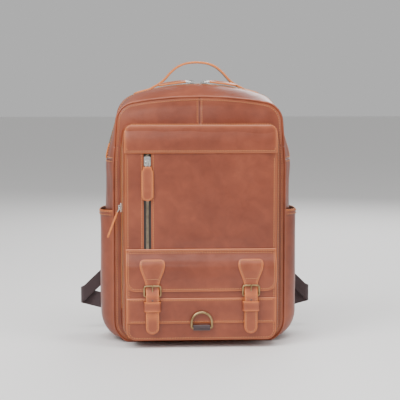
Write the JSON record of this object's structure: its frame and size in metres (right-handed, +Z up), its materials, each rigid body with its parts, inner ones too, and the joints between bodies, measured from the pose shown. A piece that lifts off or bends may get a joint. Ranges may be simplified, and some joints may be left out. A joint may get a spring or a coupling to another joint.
{
  "type": "leather backpack",
  "caption": "Soft leather laptop backpack with an organizer on its front, a flap pocket with buckled straps, side pockets, a zipped mouth and padded shoulder straps",
  "frame": {"origin": "on the floor, under the middle of the main compartment's flat base", "axes": "+Z up, the front pocket faces -Y, the shoulder straps are at +Y, +X to the right of someone looking at the front"},
  "size_m": [0.3692, 0.1845, 0.427],
  "materials": {
    "leather": "smooth oiled pull-up leather",
    "stiffener": "dull board",
    "lining": "plain woven lining over foam",
    "strap_padding": "smooth leather over foam",
    "zip_tape": "dark tape with dull brass teeth",
    "webbing": "dark woven webbing",
    "old_brass": "antique, brushed",
    "nickel": "bright nickel plate"
  },
  "bodies": {
    "bag": {"base_panel": "leather", "base_board": "stiffener", "side_gusset_left": "leather", "side_gusset_right": "leather", "zip_strip_rear": "leather", "main_chain_rear": "zip_tape", "main_front_panel": "leather", "back_panel": "leather", "back_padding": "lining", "laptop_divider": "lining", "piping": "leather", "organizer_band": "leather", "organizer_front": "leather", "top_band": "leather", "organizer_chain": "zip_tape", "pocket_chain": "zip_tape", "flap_pocket_front": "leather", "flap_pocket_band": "leather", "pocket_strip": "leather", "ring_tab": "webbing", "snap_studs": "old_brass", "side_pocket_left": "leather", "side_pocket_right": "leather", "handle_feet": "leather", "strap_yoke": "leather", "strap_necks": "strap_padding", "strap_anchors": "leather"},
    "mouth": {"mouth_panel": "leather", "zip_strip_front": "leather", "main_chain_front": "zip_tape"},
    "main_slider_l": {"main_slider_left": "nickel"},
    "main_slider_r": {"main_slider_right": "nickel"},
    "main_pull_l": {"main_pull_left": "leather"},
    "main_pull_r": {"main_pull_right": "leather"},
    "organizer_runner": {"organizer_slider": "nickel"},
    "organizer_tab": {"organizer_pull": "leather"},
    "pocket_runner": {"pocket_slider": "nickel"},
    "pocket_tab": {"pocket_pull": "leather"},
    "front_flap": {"flap": "leather", "flap_shields": "leather"},
    "closure_l": {"strap_tail_left": "leather", "chape_left": "leather", "buckle_left": "old_brass", "keeper_left": "leather", "snap_socket_left": "old_brass"},
    "closure_r": {"strap_tail_right": "leather", "chape_right": "leather", "buckle_right": "old_brass", "keeper_right": "leather", "snap_socket_right": "old_brass"},
    "tongue_l": {"prong_left": "old_brass"},
    "tongue_r": {"prong_right": "old_brass"},
    "ring": {"d_ring": "old_brass"},
    "handle": {"carry_handle": "leather"},
    "shoulder_strap_l": {"shoulder_pad_left": "strap_padding", "ladder_lock_left": "old_brass", "webbing_left": "webbing"},
    "shoulder_strap_r": {"shoulder_pad_right": "strap_padding", "ladder_lock_right": "old_brass", "webbing_right": "webbing"}
  },
  "joints": [
    {"name": "mouth_open", "type": "hinge", "parent": "bag", "child": "mouth", "pos_m": [0, -0.0475, 0.335], "axis": [1, 0, 0], "range_deg": [0, 50]},
    {"name": "main_slider_left_travel", "type": "hinge", "parent": "mouth", "child": "main_slider_l", "pos_m": [0, 0, 0.077], "axis": [0, 1, 0], "range_deg": [-13, 0]},
    {"name": "main_slider_right_travel", "type": "hinge", "parent": "mouth", "child": "main_slider_r", "pos_m": [0, 0, 0.077], "axis": [0, 1, 0], "range_deg": [0, 13]},
    {"name": "main_pull_left_lift", "type": "hinge", "parent": "main_slider_l", "child": "main_pull_l", "pos_m": [-0.01008, 0, 0.39539], "axis": [0, 1, 0], "range_deg": [0, 120]},
    {"name": "main_pull_right_lift", "type": "hinge", "parent": "main_slider_r", "child": "main_pull_r", "pos_m": [0.01008, 0, 0.39539], "axis": [0, -1, 0], "range_deg": [0, 120]},
    {"name": "organizer_zip_travel", "type": "slide", "parent": "bag", "child": "organizer_runner", "axis": [0, 0, -1], "range_m": [-0.08, 0.135]},
    {"name": "organizer_pull_lift", "type": "hinge", "parent": "organizer_runner", "child": "organizer_tab", "pos_m": [-0.12055, -0.067, 0.208], "axis": [0, 1, 0], "range_deg": [-20, 100]},
    {"name": "pocket_zip_travel", "type": "slide", "parent": "bag", "child": "pocket_runner", "axis": [0, 0, -1], "range_m": [0, 0.07]},
    {"name": "pocket_pull_lift", "type": "hinge", "parent": "pocket_runner", "child": "pocket_tab", "pos_m": [-0.0796, -0.09155, 0.278], "axis": [-1, 0, 0], "range_deg": [0, 150]},
    {"name": "flap_lift", "type": "hinge", "parent": "bag", "child": "front_flap", "pos_m": [0, -0.0895, 0.142], "axis": [-1, 0, 0], "range_deg": [0, 110]},
    {"name": "closure_left_swing", "type": "hinge", "parent": "front_flap", "child": "closure_l", "pos_m": [-0.073, -0.102, 0.0955], "axis": [-1, 0, 0], "range_deg": [0, 60]},
    {"name": "closure_right_swing", "type": "hinge", "parent": "front_flap", "child": "closure_r", "pos_m": [0.073, -0.102, 0.0955], "axis": [-1, 0, 0], "range_deg": [0, 60]},
    {"name": "prong_left_tilt", "type": "hinge", "parent": "closure_l", "child": "tongue_l", "pos_m": [-0.073, -0.10325, 0.079], "axis": [1, 0, 0], "range_deg": [0, 20]},
    {"name": "prong_right_tilt", "type": "hinge", "parent": "closure_r", "child": "tongue_r", "pos_m": [0.073, -0.10325, 0.079], "axis": [1, 0, 0], "range_deg": [0, 20]},
    {"name": "ring_swing", "type": "hinge", "parent": "bag", "child": "ring", "pos_m": [0, -0.1022, 0.031], "axis": [1, 0, 0], "range_deg": [0, 170]},
    {"name": "handle_tilt", "type": "hinge", "parent": "bag", "child": "handle", "pos_m": [0, 0.033, 0.3864], "axis": [1, 0, 0], "range_deg": [-25, 35]},
    {"name": "strap_left_swing", "type": "hinge", "parent": "bag", "child": "shoulder_strap_l", "pos_m": [-0.042, 0.0475, 0.35], "axis": [-0.2156, 0, -0.9765], "range_deg": [0, 15]},
    {"name": "strap_right_swing", "type": "hinge", "parent": "bag", "child": "shoulder_strap_r", "pos_m": [0.042, 0.0475, 0.35], "axis": [-0.2156, 0, 0.9765], "range_deg": [0, 15]}
  ],
  "couplings": [
    {"joint": "main_slider_left_travel", "follows": "mouth_open", "ratio": -0.26},
    {"joint": "main_slider_right_travel", "follows": "mouth_open", "ratio": 0.26}
  ]
}
